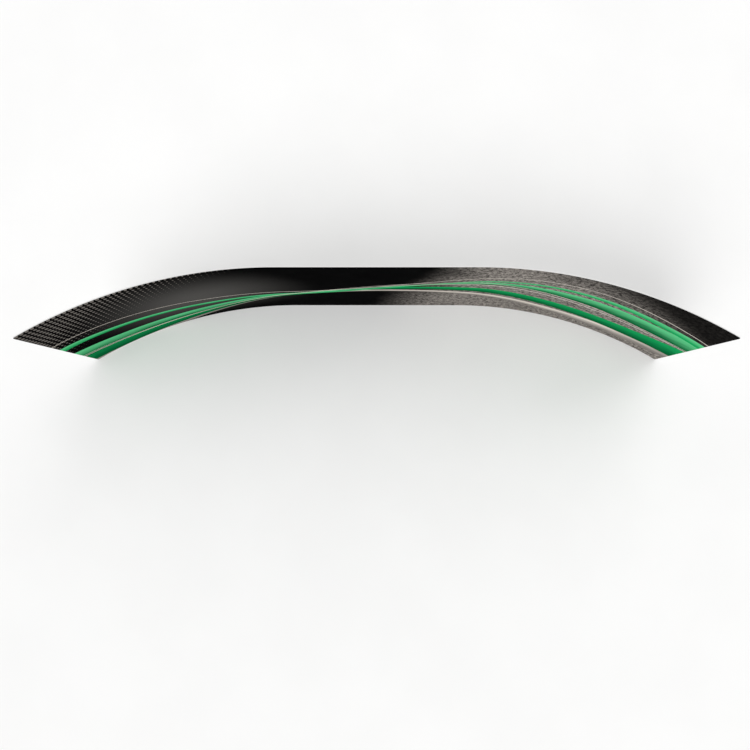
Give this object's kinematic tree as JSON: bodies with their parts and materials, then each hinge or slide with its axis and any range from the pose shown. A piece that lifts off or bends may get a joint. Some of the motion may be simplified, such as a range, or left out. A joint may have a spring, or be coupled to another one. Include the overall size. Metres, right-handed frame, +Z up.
{
  "type": "curved fabric exhibit backwall",
  "caption": "Free-standing tension-fabric exhibit backwall: a straight middle with wings curving forward, a tube frame with snap-button uprights and a zipped stretch cover.",
  "frame": {"origin": "on the floor, at the middle of the bounding box in plan", "axes": "+X to the right along the straight middle as seen from the front, +Y towards the back, +Z up; the printed front faces -Y"},
  "size_m": [8.8118, 0.9024, 2.337],
  "materials": {
    "printed_fabric": "matte stretch knit, black ground with a printed green and grey design",
    "white_fabric": "matte white stretch knit",
    "zip_tape": "white woven zip tape",
    "zip_coil": "white nylon coil",
    "zip_metal": "nickel plated",
    "tube": "satin anodised",
    "connector": "black moulded nylon",
    "shock_cord": "elastic cord in a black braided sheath",
    "spring_steel": "bright spring steel"
  },
  "bodies": {
    "wall": {"back_panel": "white_fabric", "bottom_corner_left_end": "connector", "bottom_corner_right_end": "connector", "bottom_rail_centre_left": "tube", "bottom_rail_centre_right": "tube", "bottom_rail_left_inner": "tube", "bottom_rail_left_outer": "tube", "bottom_rail_right_inner": "tube", "bottom_rail_right_outer": "tube", "bottom_shock_cord": "shock_cord", "bottom_tee_centre": "connector", "bottom_tee_left_bend": "connector", "bottom_tee_left_wing": "connector", "bottom_tee_right_bend": "connector", "bottom_tee_right_wing": "connector", "front_panel": "printed_fabric", "lower_upright_centre": "tube", "lower_upright_left_bend": "tube", "lower_upright_left_end": "tube", "lower_upright_left_wing": "tube", "lower_upright_right_bend": "tube", "lower_upright_right_end": "tube", "lower_upright_right_wing": "tube", "snap_button_springs": "spring_steel", "top_corner_left_end": "connector", "top_corner_right_end": "connector", "top_rail_centre_left": "tube", "top_rail_centre_right": "tube", "top_rail_left_inner": "tube", "top_rail_left_outer": "tube", "top_rail_right_inner": "tube", "top_rail_right_outer": "tube", "top_shock_cord": "shock_cord", "top_tee_centre": "connector", "top_tee_left_bend": "connector", "top_tee_left_wing": "connector", "top_tee_right_bend": "connector", "top_tee_right_wing": "connector", "upper_upright_centre": "tube", "upper_upright_left_bend": "tube", "upper_upright_left_end": "tube", "upper_upright_left_wing": "tube", "upper_upright_right_bend": "tube", "upper_upright_right_end": "tube", "upper_upright_right_wing": "tube", "zip_coil": "zip_coil", "zip_stops": "zip_metal", "zip_tape_lower": "zip_tape", "zip_tape_upper": "zip_tape"},
    "snap_button_centre": {"snap_button_centre": "spring_steel"},
    "snap_button_left_bend": {"snap_button_left_bend": "spring_steel"},
    "snap_button_left_end": {"snap_button_left_end": "spring_steel"},
    "snap_button_left_wing": {"snap_button_left_wing": "spring_steel"},
    "snap_button_right_bend": {"snap_button_right_bend": "spring_steel"},
    "snap_button_right_end": {"snap_button_right_end": "spring_steel"},
    "snap_button_right_wing": {"snap_button_right_wing": "spring_steel"},
    "zip_pull_left": {"zip_pull_left": "zip_metal"},
    "zip_pull_right": {"zip_pull_right": "zip_metal"},
    "zip_slider_left": {"zip_slider_left": "zip_metal"},
    "zip_slider_right": {"zip_slider_right": "zip_metal"}
  },
  "joints": [
    {"name": "press_left_end", "type": "slide", "parent": "wall", "child": "snap_button_left_end", "axis": [-0.8581, -0.5135, 0], "range_m": [0, 0.005], "stiffness_N_per_m": 3000, "springref_m": -0.002, "deforming": ["snap_button_springs"]},
    {"name": "press_left_wing", "type": "slide", "parent": "wall", "child": "snap_button_left_wing", "axis": [-0.9639, -0.2664, 0], "range_m": [0, 0.005], "stiffness_N_per_m": 3000, "springref_m": -0.002, "deforming": ["snap_button_springs"]},
    {"name": "press_left_bend", "type": "slide", "parent": "wall", "child": "snap_button_left_bend", "axis": [-1, 0, 0], "range_m": [0, 0.005], "stiffness_N_per_m": 3000, "springref_m": -0.002, "deforming": ["snap_button_springs"]},
    {"name": "press_centre", "type": "slide", "parent": "wall", "child": "snap_button_centre", "axis": [0, -1, 0], "range_m": [0, 0.005], "stiffness_N_per_m": 3000, "springref_m": -0.002, "deforming": ["snap_button_springs"]},
    {"name": "press_right_bend", "type": "slide", "parent": "wall", "child": "snap_button_right_bend", "axis": [1, 0, 0], "range_m": [0, 0.005], "stiffness_N_per_m": 3000, "springref_m": -0.002, "deforming": ["snap_button_springs"]},
    {"name": "press_right_wing", "type": "slide", "parent": "wall", "child": "snap_button_right_wing", "axis": [0.9639, -0.2664, 0], "range_m": [0, 0.005], "stiffness_N_per_m": 3000, "springref_m": -0.002, "deforming": ["snap_button_springs"]},
    {"name": "press_right_end", "type": "slide", "parent": "wall", "child": "snap_button_right_end", "axis": [0.8581, -0.5135, 0], "range_m": [0, 0.005], "stiffness_N_per_m": 3000, "springref_m": -0.002, "deforming": ["snap_button_springs"]},
    {"name": "run_left_slider", "type": "hinge", "parent": "wall", "child": "zip_slider_left", "pos_m": [-1.2575, -5.66408, 0.062], "axis": [0, 0, -1], "range_deg": [0, 30], "deforming": ["zip_coil"]},
    {"name": "swing_left_pull", "type": "hinge", "parent": "zip_slider_left", "child": "zip_pull_left", "pos_m": [-4.35303, -0.38433, 0.062], "axis": [0.8624, 0.5062, 0], "range_deg": [-5, 160]},
    {"name": "run_right_slider", "type": "hinge", "parent": "wall", "child": "zip_slider_right", "pos_m": [1.2575, -5.66408, 0.062], "axis": [0, 0, 1], "range_deg": [0, 30], "deforming": ["zip_coil"]},
    {"name": "swing_right_pull", "type": "hinge", "parent": "zip_slider_right", "child": "zip_pull_right", "pos_m": [4.35303, -0.38433, 0.062], "axis": [0.8624, -0.5062, 0], "range_deg": [-5, 160]}
  ]
}
